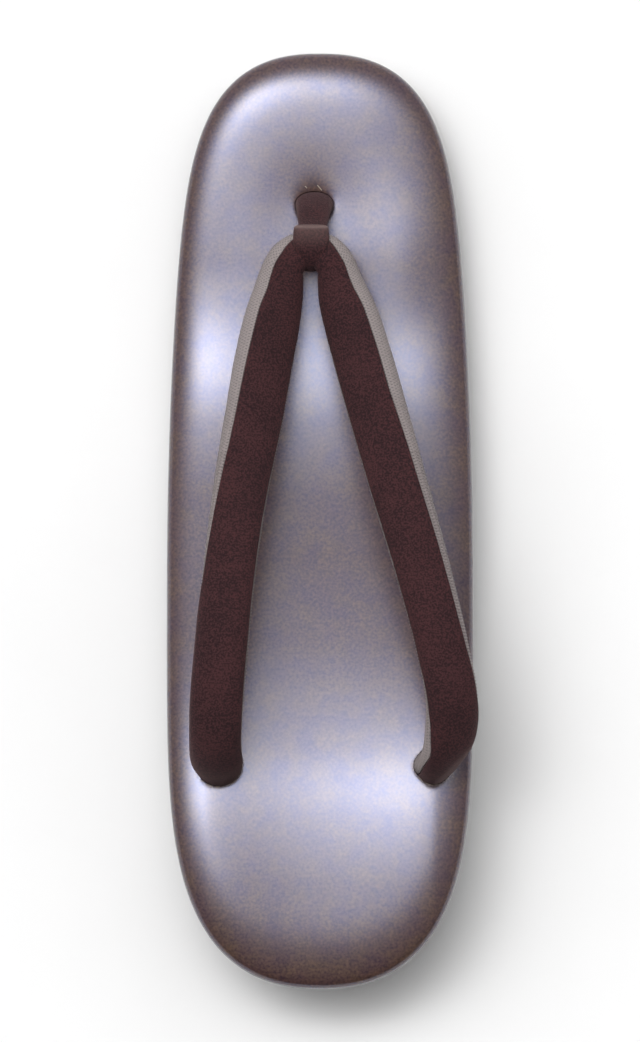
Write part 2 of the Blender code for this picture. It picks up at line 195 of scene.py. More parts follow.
# %% [markdown]
# ## The sandal's own sizes
# The outline is two blunt superellipse ends that meet at the widest place. Seen from the side, the tread
# is level under the ball of the foot, climbs in a wedge, and is level again at the heel, so it is written
# as a short table of slopes. These are the sizes the solid model was made from, written out again because
# a scene reads only the packed model.

# %% Outline, seen from above
LENGTH = 245 * MM
TIP_Y = LENGTH / 2
HALF_WIDTH = 40.1 * MM
WIDEST_Y = -15 * MM
TOE_TAPER = 8 * MM
TOE_BLUNTNESS, TOE_CORNER = 9.4, 2.4
HEEL_BLUNTNESS, HEEL_CORNER = 4.7, 2.3
GAP = 0.3 * MM  # between pieces that touch


def half_width(y):
    if y > WIDEST_Y:
        share = min((y - WIDEST_Y) / (TIP_Y - WIDEST_Y), 1)
        return (HALF_WIDTH - TOE_TAPER * share**2) * (1 - share**TOE_BLUNTNESS) ** (1 / TOE_CORNER)
    share = min((WIDEST_Y - y) / (WIDEST_Y + TIP_Y), 1)
    return HALF_WIDTH * (1 - share**HEEL_BLUNTNESS) ** (1 / HEEL_CORNER)


side_line = np.array([(half_width(y), y) for y in TIP_Y * np.cos(np.linspace(0, math.pi, 4001))])


def outline(count):
    """Evenly spaced points round the sandal from the toe tip over the right side, and inward normals."""
    walked = np.concatenate([[0], np.cumsum(np.linalg.norm(np.diff(side_line, axis=0), axis=1))])
    stops = np.linspace(0, walked[-1], count // 2 + 1)
    right = np.column_stack([np.interp(stops, walked, side_line[:, axis]) for axis in (0, 1)])
    right[0, 0] = right[-1, 0] = 0
    points = np.vstack([right, right[-2:0:-1] * (-1, 1)])
    along = np.roll(points, -1, axis=0) - np.roll(points, 1, axis=0)
    return points, np.column_stack([along[:, 1], -along[:, 0]]) / np.linalg.norm(along, axis=1)[:, None]


def drawn_in(inset, count):
    """The outline's corners, drawn in by inset, a function of y."""
    points, inward = outline(count)
    return points + inward * np.reshape(inset(points[:, 1]), (-1, 1))


print("widest:", in_mm(2 * side_line[:, 0].max()), "mm")

# %% Side view
FOREFOOT_HEIGHT = 24 * MM
TREAD_SLOPES = (  # from the toe tip in mm, degrees
    (0, 0), (55, 0), (66, 2), (83, 6.7), (97, 10.6), (117, 13.8), (130, 14.3), (144, 14.9), (154, 14.8),
    (165, 13.3), (175, 11.5), (182, 9.8), (200, 4.5), (218, 0.9), (245, -2),
)
HEEL_DISH = 1.0 * MM  # the hollow the heel rests in
DISH_START_Y, DISH_FULL_Y = -10 * MM, -60 * MM
DISH_HALF_WIDTH = 30 * MM


def tread_height(y):
    """Height of the tread's middle line: its slopes added up from the toe."""
    stations = np.linspace(0, LENGTH, 981)
    from_toe, degrees = np.array(TREAD_SLOPES).T
    slopes = np.interp(stations, from_toe * MM, degrees)
    rises = np.tan(np.radians(slopes)) * (stations[1] - stations[0])
    return np.interp(TIP_Y - y, stations, FOREFOOT_HEIGHT + np.cumsum(rises))


def dish(x, y):
    depth = HEEL_DISH * smoothstep(y, DISH_START_Y, DISH_FULL_Y)
    return depth * np.clip(1 - (x / DISH_HALF_WIDTH) ** 2, 0, 1)


print("tread height: toe", in_mm(tread_height(TIP_Y)), "heel", in_mm(tread_height(-TIP_Y)), "mm")

# %% [markdown]
# ## Pearl leather
# The tread and the wall are covered in a satin pearl leather: a brown-mauve ground under a thin pearly
# coat that reflects a cool, bluish light. So the ground is a dark warm base colour, and the coat is the
# shader's own specular layer, tinted blue. Real hide is never even: a broad mottle and fine flecks shift
# the ground between mauve and brown, the pearl shifts between cool and warm, and the grain is a bump of a
# few thousandths of a millimetre. A smooth noise in object space has no seams, so nothing is unwrapped.
# At a cut edge, which the attribute "cut" marks, the undyed inside of the leather shows.

# %% A short way to write nodes


class Recipe:
    """The nodes of a material or a world. Each method adds a node and returns what comes out of it."""

    def __init__(self, owner):
        owner.use_nodes = True
        self.owner, self.nodes, self.links = owner, owner.node_tree.nodes, owner.node_tree.links

    def join(self, source, socket):
        """Links the source to the socket, or sets the socket to it if it is a number or a colour."""
        if isinstance(source, bpy.types.NodeSocket):
            self.links.new(source, socket)
        elif source is not None:
            socket.default_value = source

    def node(self, kind, sources, output=0, **settings):
        made = self.nodes.new("ShaderNode" + kind)
        for name, setting in settings.items():
            setattr(made, name, setting)
        for socket, source in sources.items():
            self.join(source, made.inputs[socket])
        return made.outputs[output]

    def noise(self, size, detail=2.0):
        """Blotches about size across, fixed to the piece."""
        place = self.node("TexCoord", {}, "Object")
        return self.node("TexNoise", {"Vector": place, "Scale": 1 / size, "Detail": detail}, "Fac")

    def attribute(self, name):
        return self.node("Attribute", {}, "Fac", attribute_name=name)

    def math(self, kind, first, second=None):
        return self.node("Math", {0: first, 1: second}, operation=kind)

    def mix(self, share, first, second, blend="MIX"):
        return self.node("Mix", {0: share, 6: first, 7: second}, 2, data_type="RGBA", blend_type=blend)

    def map_range(self, value, low, high, to_low, to_high):
        sources = {"Value": value, "From Min": low, "From Max": high, "To Min": to_low, "To Max": to_high}
        return self.node("MapRange", sources, "Result")

    def ramp(self, value, low, high, first, second):
        """Colours from first to second as value goes from low to high."""
        colours = self.node("ValToRGB", {"Fac": value}, "Color")
        stops = colours.node.color_ramp.elements
        for stop, place, colour in zip(stops, (low, high), (first, second)):
            stop.position, stop.color = place, (*colour, 1)
        return colours


print("a recipe's steps:", ", ".join(name for name in vars(Recipe) if not name.startswith("_")))

# %% A new finish


class Finish(Recipe):
    """A new material, with its shader's base colour, roughness and specular level."""

    def __init__(self, name, colour, roughness, level=0.5):
        super().__init__(bpy.data.materials.new(name))
        self.give("Base Color", (*colour, 1))
        self.give("Roughness", roughness)
        self.give("Specular IOR Level", level)

    def give(self, socket, source):
        self.join(source, self.nodes["Principled BSDF"].inputs[socket])

    def bump(self, height, distance):
        self.give("Normal", self.node("Bump", {"Height": height, "Distance": distance}, "Normal"))


print("materials that the solid model brought:", len(bpy.data.materials))

# %% Mix the pearl leather
GROUND_MAUVE, GROUND_BROWN = (0.079, 0.047, 0.049), (0.094, 0.058, 0.046)
FLECK_COOL, FLECK_WARM = (0.62, 0.66, 0.8), (1.38, 1.34, 1.2)  # what the flecks do to the ground
PEARL_COOL, PEARL_WARM = (0.645, 0.705, 1.0), (0.79, 0.795, 0.935)
RAW_EDGE = (0.34, 0.27, 0.215)  # the leather's cut edge at the holes
PEARL_ROUGHNESS, PEARL_LEVEL = 0.23, 0.925
DYE_SIZE, CAST_SIZE, FLECK_SIZE, FRAY_SIZE, GRAIN_SIZE = (size * MM for size in (7, 5, 0.7, 0.8, 0.35))
GRAIN_DEPTH = 0.003 * MM

leather = Finish("pearl_leather", GROUND_MAUVE, PEARL_ROUGHNESS, PEARL_LEVEL)
leather.give("IOR", 1.5)
dye = leather.ramp(leather.noise(DYE_SIZE), 0.35, 0.65, GROUND_MAUVE, GROUND_BROWN)
fleck = leather.noise(FLECK_SIZE, 3.0)
flecks = leather.ramp(fleck, 0.3, 0.7, FLECK_COOL, FLECK_WARM)
ground = leather.mix(1.0, dye, flecks, "MULTIPLY")
frayed = leather.ramp(leather.noise(FRAY_SIZE), 0.42, 0.55, (0, 0, 0), (1, 1, 1))
cut = leather.math("MULTIPLY", leather.attribute("cut"), frayed)
leather.give("Base Color", leather.mix(cut, ground, (*RAW_EDGE, 1)))
cast = leather.math("ADD", fleck, leather.noise(CAST_SIZE))
warm = leather.map_range(cast, 0.8, 1.2, 0.0, 1.0)
leather.give("Specular Tint", leather.ramp(warm, 0.0, 1.0, PEARL_COOL, PEARL_WARM))
grain = leather.noise(GRAIN_SIZE, 3.0)
leather.give("Roughness", leather.map_range(grain, 0.3, 0.7, PEARL_ROUGHNESS - 0.02, PEARL_ROUGHNESS + 0.02))
leather.bump(grain, GRAIN_DEPTH)
pearl = leather.owner
print("made", pearl.name, "with", len(leather.nodes), "nodes")

# %% [markdown]
# ## The padded tread
# The tread is leather pulled over a sheet of foam. It is nearly flat in the middle, and towards the edge
# it rolls over, faster and faster, until it dives into the crease above the side wall. A superellipse
# gives just that roll. The leather is also drawn down where the thong and the straps go through it, so
# there is a shallow dimple round each of the three holes.
#
# It could be a subdivided block, but then the roll would be as wide as the subdivision makes it. Extruded
# rings put the corners where the roll is tight, and a grid fill covers the middle with even squares.
# Round the holes the squares are made finer, so that the leather can be drawn down smoothly.

# %% Where the straps go in
WELL_DEPTH = 17 * MM
PAD_THICKNESS = 9 * MM
SECTION_POWER = 2.5
CROWN_SHARE = 0.58
END_POWER = 2.1  # the straps are rounder where they go into their holes
ALL_ROUND = np.linspace(0, 2 * math.pi, 64, endpoint=False)
Well = namedtuple("Well", "name x y half_width half_length swing power")
TOE_WELL = Well("toe_well", -1.5 * MM, 82.8 * MM, 5.1 * MM, 4.2 * MM, 0, END_POWER)
LEFT_WELL = Well("left_well", -26.4 * MM, -63.5 * MM, 6.1 * MM, 5.1 * MM, -6, END_POWER)
RIGHT_WELL = Well("right_well", 29.3 * MM, -63.2 * MM, 5.1 * MM, 4.9 * MM, 43, SECTION_POWER)
WELLS = (TOE_WELL, LEFT_WELL, RIGHT_WELL)


def oval(width, thickness, crown_share=0.5, angles=ALL_ROUND, power=SECTION_POWER):
    """A padded section as (across, up): a superellipse with more of its thickness above its seams."""
    cosines, sines = np.cos(angles), np.sin(angles)
    across = np.sign(cosines) * np.abs(cosines) ** (2 / power) * width / 2
    up = np.sign(sines) * np.abs(sines) ** (2 / power) * thickness
    return across, up * np.where(up > 0, crown_share, 1 - crown_share)


def well_turn(well):
    return math.radians(well.swing) * math.copysign(1, well.x)


def well_plug(well):
    """An upright plug of the well's section, from above the tread to the bottom of the well."""
    mouth = float(tread_height(well.y))
    across, back = oval(2 * well.half_width, 2 * well.half_length, CROWN_SHARE, power=well.power)
    turn = Matrix.Rotation(well_turn(well), 3, "Z")
    section = [turn @ Vector((a, -b, 0)) for a, b in zip(across, back)]
    heights = (mouth - WELL_DEPTH, mouth + PAD_THICKNESS)
    return loft(well.name, [[c + Vector((well.x, well.y, z)) for c in section] for z in heights])


def well_distance(well, x, y):
    """How far each place lies outside the well's rim, about; negative inside."""
    turn = -well_turn(well)
    across = (x - well.x) * math.cos(turn) - (y - well.y) * math.sin(turn)
    along = (x - well.x) * math.sin(turn) + (y - well.y) * math.cos(turn)
    half_length = np.where(along > 0, 1 - CROWN_SHARE, CROWN_SHARE) * 2 * well.half_length
    share = (np.abs(across / well.half_width) ** well.power
             + np.abs(along / half_length) ** well.power) ** (1 / well.power)
    return np.hypot(across, along) * (1 - 1 / np.maximum(share, 1e-6))


for well in WELLS:
    print(well.name, "is", in_mm(2 * well.half_width), "mm wide")

# %% The pad's rolled edge
ROLL_POWER = 4.3
ROLL_DEPTH = 7.2 * MM
ROLL_REACH, TOE_ROLL_REACH, HEEL_ROLL_REACH = 28 * MM, 34 * MM, 26 * MM
TOE_ROLL_START_Y, TOE_ROLL_FULL_Y = 70 * MM, 112 * MM
HEEL_ROLL_START_Y, HEEL_ROLL_FULL_Y = -70 * MM, -112 * MM
RIM_TUCK, UNDERSIDE_INSET = 0.9 * MM, 1.5 * MM
OUTLINE_CORNERS = 480
ROLL_RINGS = 24
ROLL_FIELD = 11 * MM  # how far in the rings go before the grid takes over
ROLL_GATHER = 3.2  # how strongly the rings gather at the edge

edge_tree = KDTree(2 * len(side_line))
for number, (edge_x, edge_y) in enumerate(side_line):
    edge_tree.insert((edge_x, edge_y, 0), 2 * number)
    edge_tree.insert((-edge_x, edge_y, 0), 2 * number + 1)
edge_tree.balance()


def roll_drop(inset, y):
    """How far the pad has rolled down, that far in from its edge."""
    reach = ROLL_REACH + (TOE_ROLL_REACH - ROLL_REACH) * smoothstep(y, TOE_ROLL_START_Y, TOE_ROLL_FULL_Y)
    reach += (HEEL_ROLL_REACH - ROLL_REACH) * smoothstep(y, HEEL_ROLL_START_Y, HEEL_ROLL_FULL_Y)
    outwards = np.clip(1 - inset / reach, 0, 1)
    return ROLL_DEPTH * (1 - (1 - outwards**ROLL_POWER) ** (1 / ROLL_POWER))


def crown(x, y):
    """Height of the tread inside the roll rings."""
    distance = np.array([edge_tree.find((a, b, 0))[2] for a, b in zip(x, y)])
    return tread_height(y) - dish(x, y) - roll_drop(distance, y)


def inset_ring(inset, drop=None):
    """The outline drawn in by inset, on the pad's surface or that drop below its middle line."""
    flat = drawn_in(lambda y: inset, OUTLINE_CORNERS)
    x, y = flat.T
    down = roll_drop(inset, y) + dish(x, y) if drop is None else drop
    return np.column_stack([flat, tread_height(y) - down])


print("5 mm in from its edge the pad lies", in_mm(roll_drop(5 * MM, 0.0)), "mm low")

# %% How far the leather is drawn down
Swell = namedtuple("Swell", "x y half_width half_length depth")
SWELLS = (
    Swell(-1.5 * MM, 84 * MM, 9 * MM, 8 * MM, 0.42 * MM),  # the thong draws the tread down round itself
    Swell(22 * MM, 69 * MM, 9 * MM, 11 * MM, -0.55 * MM),  # the foam stands up beside the ball
)
RIM_CURL, RIM_CURL_REACH = 0.04 * MM, 0.25 * MM
PULL_DEPTH, PULL_REACH, PULL_HALF_WIDTH = 0.55 * MM, 1.9 * MM, 3.2 * MM
PULL_FROM, PULL_FULL = -2.5 * MM, 3.5 * MM  # from the middle of the hole forwards


def swells(x, y):
    """How far soft hollows take the leather down; a bulge counts as a negative depth."""
    total = np.zeros(len(x))
    for swell in SWELLS:
        share = ((x - swell.x) / swell.half_width) ** 2 + ((y - swell.y) / swell.half_length) ** 2
        total += swell.depth * np.exp(-share / 2)
    return total


def rim_curl(x, y):
    """How far the leather turns down at the very rim of each hole."""
    distances = [np.maximum(well_distance(well, x, y), 0) for well in WELLS]
    return sum(RIM_CURL * np.exp(-((distance / RIM_CURL_REACH) ** 2)) for distance in distances)


def toe_pull(x, y):
    """How far the thong draws the leather down in front of its hole."""
    distance = np.maximum(well_distance(TOE_WELL, x, y), 0)
    beside = (x - TOE_WELL.x) / PULL_HALF_WIDTH
    ahead = smoothstep(y, TOE_WELL.y + PULL_FROM, TOE_WELL.y + PULL_FULL)
    return PULL_DEPTH * ahead * np.exp(-distance / PULL_REACH - beside**2 / 2)


def drawn_down(x, y):
    return swells(x, y) + rim_curl(x, y) + toe_pull(x, y)


in_front = np.array([[TOE_WELL.x], [TOE_WELL.y + TOE_WELL.half_length]])
print("in front of the thong it is drawn down", in_mm(drawn_down(*in_front)[0]), "mm")

# %% Fill both ends with grids
GRID_SPAN = 60  # squares across the toe and the heel; the rest of the ring runs down the sides
UNDERSIDE, CROWN = -1.0, 1000.0  # the rows that corners of the two grids remember


def fill_ends(piece, last_row, span=GRID_SPAN):
    """Fills the first and the last ring with grids, whose corners remember UNDERSIDE and CROWN."""
    edit(piece)
    for row, mark in ((0, UNDERSIDE), (last_row, CROWN)):
        select_where(piece, "edges", lambda edge, rows: all(corner[rows] == row for corner in edge.verts))
        bpy.ops.mesh.fill_grid(span=span, offset=-span // 2)
        data = bmesh.from_edit_mesh(piece.data)
        row_layer = data.verts.layers.float["row"]
        for corner in data.verts:
            if corner.select and all(face.select for face in corner.link_faces):
                corner[row_layer] = mark
    bpy.ops.mesh.select_all(action="SELECT")
    bpy.ops.mesh.normals_make_consistent(inside=False)
    leave_edit()


def lift(piece, mark, height):
    """Moves a grid's corners straight up or down to the height that their place gives."""
    places, marked = points_of(piece), rows_of(piece) == mark
    places[marked, 2] = height(*places[marked, :2].T)
    set_points(piece, places)


def triangles(piece):
    return sum(len(face.vertices) - 2 for face in piece.data.polygons)


def finish(piece, material, node, degrees=40):
    """Shades a piece smooth, gives it its only material, and ties it to the solid model."""
    pick(piece)
    bpy.ops.object.shade_smooth_by_angle(angle=math.radians(degrees))
    piece.data.materials.clear()
    piece.data.materials.append(material)
    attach(piece, "root")
    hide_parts(node)
    print(piece.name, triangles(piece), "triangles")


# %% Model the pad
TUCK_TURNS = np.radians((90, 70, 50, 30, 15))
pad_rings = [inset_ring(RIM_TUCK + UNDERSIDE_INSET, PAD_THICKNESS)]
for tuck in TUCK_TURNS:
    drop = ROLL_DEPTH + (PAD_THICKNESS - ROLL_DEPTH) * math.sin(tuck)
    pad_rings.append(inset_ring(RIM_TUCK * (1 - math.cos(tuck)), drop))
pad_rings += [inset_ring(ROLL_FIELD * share) for share in np.linspace(0, 1, ROLL_RINGS + 1) ** ROLL_GATHER]
pad = loft("padded_tread", pad_rings, caps=False)
fill_ends(pad, len(pad_rings) - 1)
print("pad before its holes:", triangles(pad), "triangles")

# %% Make the squares round the holes finer, and lift both grids
HOLE_FIELD = 9 * MM  # how near a hole the squares are made finer


def near_a_hole(face, rows):
    x, y = face.calc_center_median().xy
    near = any(math.hypot(x - well.x, y - well.y) < HOLE_FIELD + well.half_width / 2 for well in WELLS)
    return near and all(corner[rows] == CROWN for corner in face.verts)


edit(pad)
select_where(pad, "faces", near_a_hole)
bpy.ops.mesh.subdivide(number_cuts=2)
leave_edit()
lift(pad, CROWN, crown)
lift(pad, UNDERSIDE, lambda x, y: tread_height(y) - PAD_THICKNESS)
print("with finer squares:", triangles(pad), "triangles")

# %% Cut the holes and draw the leather down to them
DRAWN_SHARE = 0.8  # how far up the pad's side the pull of the holes is felt in full
CUT_REACH = 0.2 * MM  # how far from the hole its raw edge shows


def drill(piece):
    for well in WELLS:
        combine(piece, well_plug(well))


drill(pad)
places = points_of(pad)
x, y = places[:, :2].T
share_up = np.clip((places[:, 2] - tread_height(y) + PAD_THICKNESS) / PAD_THICKNESS, 0, 1)
places[:, 2] -= drawn_down(x, y) * smoothstep(share_up, 0.0, DRAWN_SHARE)
set_points(pad, places)
raw = sum(np.exp(-((well_distance(well, x, y) / CUT_REACH) ** 2)) * (y < well.y)
          for well in (LEFT_WELL, RIGHT_WELL))
remember(pad, "cut", raw * (share_up > 0.5))
finish(pad, pearl, "padded_top")

# %% [markdown]
# ## The side wall
# Under the pad is a light core, wrapped in the same leather. The wall stands just inside the pad's edge,
# draws in below the toe and the heel, and turns over softly at its two edges. Like the pad, it is rings
# extruded from its foot to its head, with the corners gathered where the edges turn.

# %% Wall sizes and rings
WALL_INSET = 0.5 * MM
UNDERCUT = 3 * MM
UNDERCUT_START_Y = 80 * MM
WALL_EDGE, WALL_LIP = 0.9 * MM, 2.4 * MM  # its rounded edges, and how far in they go on
WALL_CORNERS, WALL_GRID_SPAN = 360, 44
OUTSOLE_THICKNESS = 4 * MM
TOE_SPRING = 6.5 * MM
TOE_SPRING_START_Y = 72 * MM
ARCH_START_Y = 18 * MM
LIFT_FRONT_Y = -62 * MM
LIFT_THICKNESS = 6 * MM


def undercut(y):
    return UNDERCUT * smoothstep(np.abs(y), UNDERCUT_START_Y, TIP_Y)


def sole_height(y):
    """Height of the outsole's underside: level at the ball, sprung at the toe, raised on the heel lift."""
    spring = TOE_SPRING * smoothstep(y, TOE_SPRING_START_Y, TIP_Y)
    arch = (LIFT_THICKNESS + GAP) * smoothstep(y, ARCH_START_Y, LIFT_FRONT_Y)
    return spring + arch


def wall_ring(share, extra_inset=0.0, rise=0.0):
    """A ring of the wall, that share of the way between its rounded foot and its rounded head."""
    flat = drawn_in(lambda y: WALL_INSET + undercut(y) * (1 - share) + extra_inset, WALL_CORNERS)
    low = sole_height(flat[:, 1]) + OUTSOLE_THICKNESS + GAP + WALL_EDGE
    high = tread_height(flat[:, 1]) - PAD_THICKNESS - GAP - WALL_EDGE
    return np.column_stack([flat, low + (high - low) * share + rise])


def edge_turn(share, up, degrees):
    """A ring of the quarter round at the wall's foot or head."""
    turn = math.radians(degrees)
    return wall_ring(share, WALL_EDGE * (1 - math.cos(turn)), up * WALL_EDGE * math.sin(turn))


heights = (wall_ring(1) - wall_ring(0))[:, 2] + 2 * WALL_EDGE
print("wall:", in_mm(heights.min()), "to", in_mm(heights.max()), "mm high")

# %% Model the wall
wall_rings = [wall_ring(0, WALL_LIP, -WALL_EDGE)]
wall_rings += [edge_turn(0, -1, degrees) for degrees in (90, 65, 40, 20)]
wall_rings += [wall_ring(share) for share in np.linspace(0, 1, 9)]
wall_rings += [edge_turn(1, 1, degrees) for degrees in (20, 40, 65, 90)]
wall_rings += [wall_ring(1, WALL_LIP, WALL_EDGE)]
wall = loft("side_wall", wall_rings, caps=False)
fill_ends(wall, len(wall_rings) - 1, WALL_GRID_SPAN)
lift(wall, UNDERSIDE, lambda x, y: sole_height(y) + OUTSOLE_THICKNESS + GAP)
lift(wall, CROWN, lambda x, y: tread_height(y) - PAD_THICKNESS - GAP)
drill(wall)
finish(wall, pearl, "platform")

# %% [markdown]
# ## Rubber outsole and heel lift
# A zori walks on a sheet of dark rubber, with a second, D-shaped block of it under the heel. Both are
# moulded with straight grooves across, so that they grip. One groove is modelled as a bar with rounded
# edges, the bar is copied down the sole, and all the copies are taken out of the rubber in one Boolean.

# %% Mix the rubber
RUBBER, RUBBER_WORN = (0.030, 0.027, 0.028), (0.050, 0.046, 0.046)
SCUFF_SIZE, RUBBER_GRAIN, RUBBER_GRAIN_DEPTH = 2.2 * MM, 0.25 * MM, 0.02 * MM
matt = Finish("sole_rubber", RUBBER, 0.62)
scuff = matt.noise(SCUFF_SIZE, 5.0)
matt.give("Base Color", matt.ramp(scuff, 0.42, 0.72, RUBBER, RUBBER_WORN))
matt.give("Roughness", matt.map_range(scuff, 0.3, 0.7, 0.55, 0.74))
matt.bump(matt.noise(RUBBER_GRAIN), RUBBER_GRAIN_DEPTH)
rubber = matt.owner
print("made", rubber.name)

# %% Sole sizes
OUTSOLE_INSET = 1.2 * MM
OUTSOLE_EDGE = 0.8 * MM
LIFT_TAPER = 1.2 * MM
SOLE_CORNERS = 240
SOLE_GRID_SPAN = 30
SOLE_LIP, SOLE_TOP_INSET = 2 * MM, 0.3 * MM
GROOVE_PITCH, GROOVE_WIDTH, GROOVE_DEPTH = 4.2 * MM, 1.3 * MM, 0.9 * MM
GROOVE_BORDER, GROOVE_EDGE = 6.5 * MM, 0.3 * MM


def sole_ring(extra_inset, base, rise):
    """A ring of rubber set in from the wall, that far above its base, a function of y."""
    flat = drawn_in(lambda y: undercut(y) + OUTSOLE_INSET + extra_inset, SOLE_CORNERS)
    return np.column_stack([flat, base(flat[:, 1]) + rise])


def rubber_rings(base, thickness, nearly_up, taper=0.0):
    """The rings from a flat underside round the rubber's lower edge and up its side to the top."""
    rings = [sole_ring(taper + OUTSOLE_EDGE + SOLE_LIP, base, 0)]
    for turn in np.radians((90, 65, 40, 20, 0)):
        inset = taper + OUTSOLE_EDGE * (1 - math.cos(turn))
        rings.append(sole_ring(inset, base, OUTSOLE_EDGE * (1 - math.sin(turn))))
    rings += [sole_ring(taper * (1 - share), base, thickness * share) for share in (0.5, nearly_up)]
    return rings + [sole_ring(SOLE_TOP_INSET, base, thickness)]


def grooves(first_y, last_y, base):
    """Rounded bars across the sole from first_y back to last_y, joined into one cutter."""
    bars = []
    for y in np.arange(first_y, last_y, -GROOVE_PITCH):
        pick()
        bpy.ops.mesh.primitive_cube_add(size=1, location=(0, 0, 0))
        bar = name_piece("groove")
        reach = half_width(y) - undercut(y) - OUTSOLE_INSET - GROOVE_BORDER
        edit(bar)
        bpy.ops.transform.resize(value=(2 * reach, GROOVE_WIDTH, 2 * GROOVE_DEPTH))
        bpy.ops.mesh.bevel(offset=GROOVE_EDGE, segments=2)
        bpy.ops.transform.translate(value=(0, y, base(y)))
        leave_edit()
        bars.append(bar)
    pick(*bars)
    bpy.ops.object.join()
    return bars[0]


print("grooves:", in_mm(GROOVE_WIDTH), "mm wide, one every", in_mm(GROOVE_PITCH), "mm")

# %% Outsole
GROOVES_FRONT_Y = 104 * MM
outsole_rings = rubber_rings(sole_height, OUTSOLE_THICKNESS, 0.9)
outsole = loft("rubber_outsole", outsole_rings, caps=False)
fill_ends(outsole, len(outsole_rings) - 1, SOLE_GRID_SPAN)
lift(outsole, UNDERSIDE, lambda x, y: sole_height(y))
lift(outsole, CROWN, lambda x, y: sole_height(y) + OUTSOLE_THICKNESS)
combine(outsole, grooves(GROOVES_FRONT_Y, LIFT_FRONT_Y + GROOVE_PITCH, sole_height))
finish(outsole, rubber, "outsole", 30)

# %% Heel lift
LIFT_GROOVES_BACK_Y = -111 * MM


def on_floor(y):
    return 0.0 * y


def cut_off(piece, place, towards):
    """Cuts off what lies beyond a plane, and closes the cut."""
    edit(piece)
    bpy.ops.mesh.bisect(plane_co=place, plane_no=towards, use_fill=True, clear_outer=True)
    leave_edit()


heel_lift = loft("rubber_heel_lift", rubber_rings(on_floor, LIFT_THICKNESS, 0.95, LIFT_TAPER))
cut_off(heel_lift, (0, LIFT_FRONT_Y, 0), (0, 1, 0))
combine(heel_lift, grooves(LIFT_FRONT_Y - GROOVE_PITCH, LIFT_GROOVES_BACK_Y, on_floor))
finish(heel_lift, rubber, "heel_lift", 30)

# %% [markdown]
# ## Velvet and ribbed lining
# The strap is a sleeve of dark burgundy velvet on top and ribbed lining underneath, filled so that it sits
# softly on the foot. Velvet is a dense pile of short threads. It swallows light that falls straight on it
# and catches light that grazes it, so the shader has a very dark base and a sheen layer. Where the pile is
# parted over a fold, the paler ground of the cloth shows. The same paler colour is also painted on where
# the velvet turns towards the light: painted sheen. The attribute "wear" says where.
#
# The lining is a pale knit. Its ribs are real ridges in the mesh. The small gaps between its stitches
# are too fine for that, so the shade in them is painted: dark spots from a pattern of two waves. The waves
# read two numbers that each corner remembers, its row along the strap and its column round it, so the
# painted shade follows the strap however it bends.

# %% Mix the velvet
VELVET_DARK, VELVET_RED = (0.0235, 0.0115, 0.0135), (0.0600, 0.0230, 0.0250)
VELVET_WORN_AND_LIT = (0.21, 0.15, 0.14)
NAP_SIZE, TUFT_SIZE, PILE_SIZE, PILE_DEPTH = 9 * MM, 0.5 * MM, 0.22 * MM, 0.12 * MM
nap = Finish("burgundy_velvet", VELVET_DARK, 0.95, 0.15)
nap.give("Sheen Weight", 0.12)
nap.give("Sheen Roughness", 0.4)
nap.give("Sheen Tint", (0.75, 0.5, 0.52, 1))
zones = nap.map_range(nap.noise(NAP_SIZE), 0.35, 0.65, 0.0, 0.35)
tufts = nap.map_range(nap.noise(TUFT_SIZE, 3.0), 0.4, 0.6, -0.2, 0.85)
cloth = nap.ramp(nap.math("ADD", tufts, zones), 0.0, 1.0, VELVET_DARK, VELVET_RED)
# Paler where the pile is worn and parted, and painted sheen where the velvet turns towards the light.
nap.give("Base Color", nap.mix(nap.attribute("wear"), cloth, (*VELVET_WORN_AND_LIT, 1)))
nap.bump(nap.noise(PILE_SIZE), PILE_DEPTH)
velvet = nap.owner
print("made", velvet.name)

# %% Mix the lining
LINING_LIGHT, LINING_SHADE = (0.305, 0.262, 0.255), (0.12, 0.11, 0.11)
YARN_SHADE = (0.72, 0.72, 0.74)
YARN_SIZE, YARN_DEPTH = 0.3 * MM, 0.06 * MM
knit = Finish("ribbed_lining", LINING_LIGHT, 0.8, 0.3)
swings = [knit.math("COSINE", knit.math("MULTIPLY", knit.attribute(count), 2 * math.pi))
          for count in ("row", "column")]
# Painted shade in the gaps between stitches, darkest where both waves dip.
gap_shade = knit.map_range(knit.math("MULTIPLY", *swings), -0.9, -0.1, 0.25, 1.0)
rib = knit.mix(gap_shade, (*LINING_SHADE, 1), (*LINING_LIGHT, 1))
yarn = knit.noise(YARN_SIZE)
shades = knit.ramp(yarn, 0.3, 0.7, YARN_SHADE, (1, 1, 1))
knit.give("Base Color", knit.mix(1.0, rib, shades, "MULTIPLY"))
knit.bump(yarn, YARN_DEPTH)
lining = knit.owner
print("made", lining.name)

# %% [markdown]
# ## The V strap
# Each arm starts at the joint over the toe cleft, arches back over the foot, and dives into its hole. A
# table gives the arm's middle, width, thickness and lean at a few places, and a smooth curve runs through
# them. The velvet doesn't go all the way round: along the front the strap leans outwards, and the lining
# shows beyond the velvet's outer seam. At the back it is the inner seam that shows. A second table says
# where the two seams lie round the section, as angles from the outer edge over the crown.

